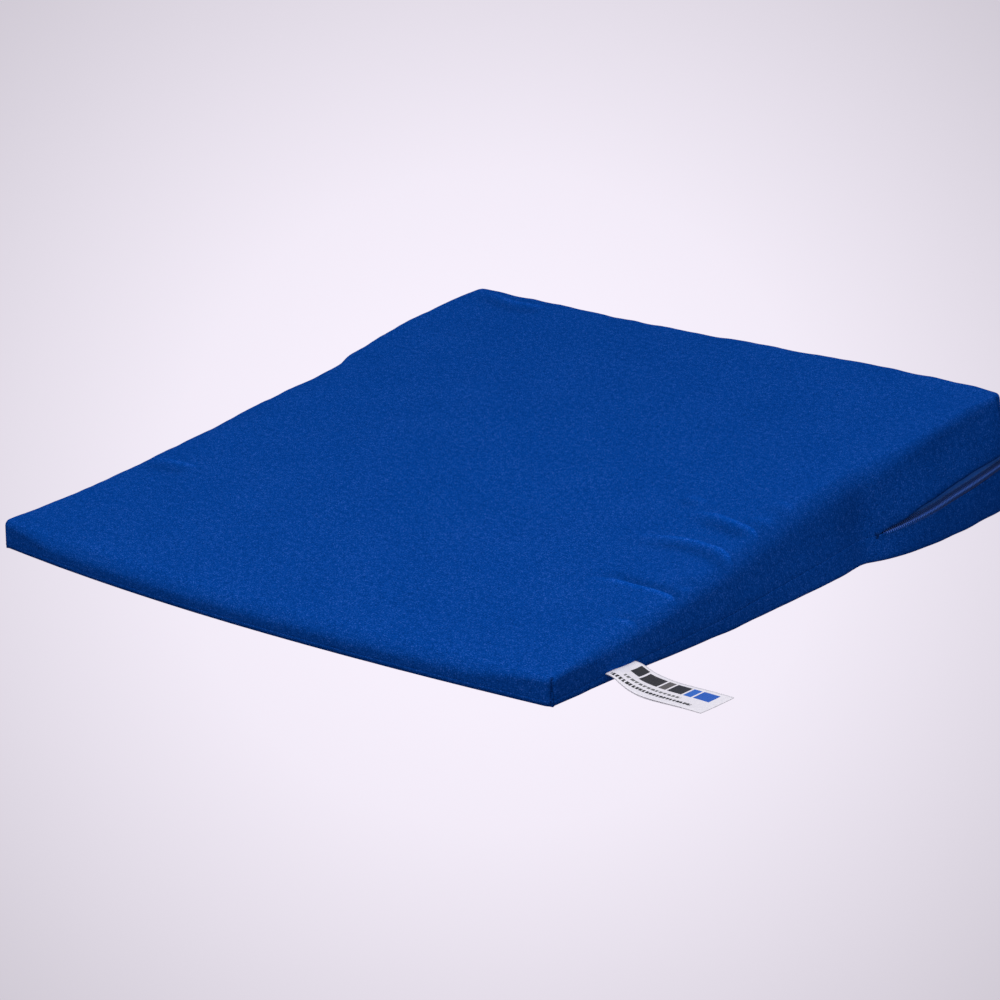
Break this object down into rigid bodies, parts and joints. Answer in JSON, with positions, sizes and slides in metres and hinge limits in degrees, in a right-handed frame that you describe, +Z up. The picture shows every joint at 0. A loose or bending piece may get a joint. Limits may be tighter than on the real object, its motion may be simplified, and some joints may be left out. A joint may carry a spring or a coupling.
{
  "type": "incline wedge cushion",
  "caption": "Shallow foam wedge cushion in a removable woven cover with a coil zip round the thick end and a folded ribbon label in the side seam.",
  "frame": {"origin": "middle of the underside of the cushion, on the surface it rests on; the ribbon label is outside this middle", "axes": "+Z up, -Y towards the thin edge, +Y towards the thick zipped end, +X towards the side with the label"},
  "size_m": [0.4189, 0.382, 0.0624],
  "materials": {
    "cover_cloth": "matte",
    "foam": "matte",
    "zip_tape": "matte",
    "zip_coil": "satin",
    "thread": "matte",
    "label_ribbon": "satin",
    "slider_metal": "satin"
  },
  "bodies": {
    "cover": {"foam_core": "foam", "cover_top": "cover_cloth", "cover_bottom": "cover_cloth", "zip_tape_upper": "zip_tape", "zip_tape_lower": "zip_tape", "zip_coil_upper": "zip_coil", "zip_coil_lower": "zip_coil", "zip_bartack_left": "thread", "zip_bartack_right": "thread"},
    "zip_slider": {"zip_slider": "slider_metal"},
    "zip_pull": {"zip_pull_tab": "slider_metal"},
    "label": {"label": "label_ribbon"}
  },
  "joints": [
    {"name": "zip_slide", "type": "slide", "parent": "cover", "child": "zip_slider", "axis": [0, 0.9931, 0.1176], "range_m": [0, 0.078]},
    {"name": "pull_flip", "type": "hinge", "parent": "zip_slider", "child": "zip_pull", "pos_m": [-0.1819, 0.09575, 0.01522], "axis": [0, -0.1176, 0.9931], "range_deg": [0, 180]},
    {"name": "label_lift", "type": "hinge", "parent": "cover", "child": "label", "pos_m": [0.1803, -0.142, 0.006], "axis": [0, -1, 0], "range_deg": [0, 90]}
  ]
}
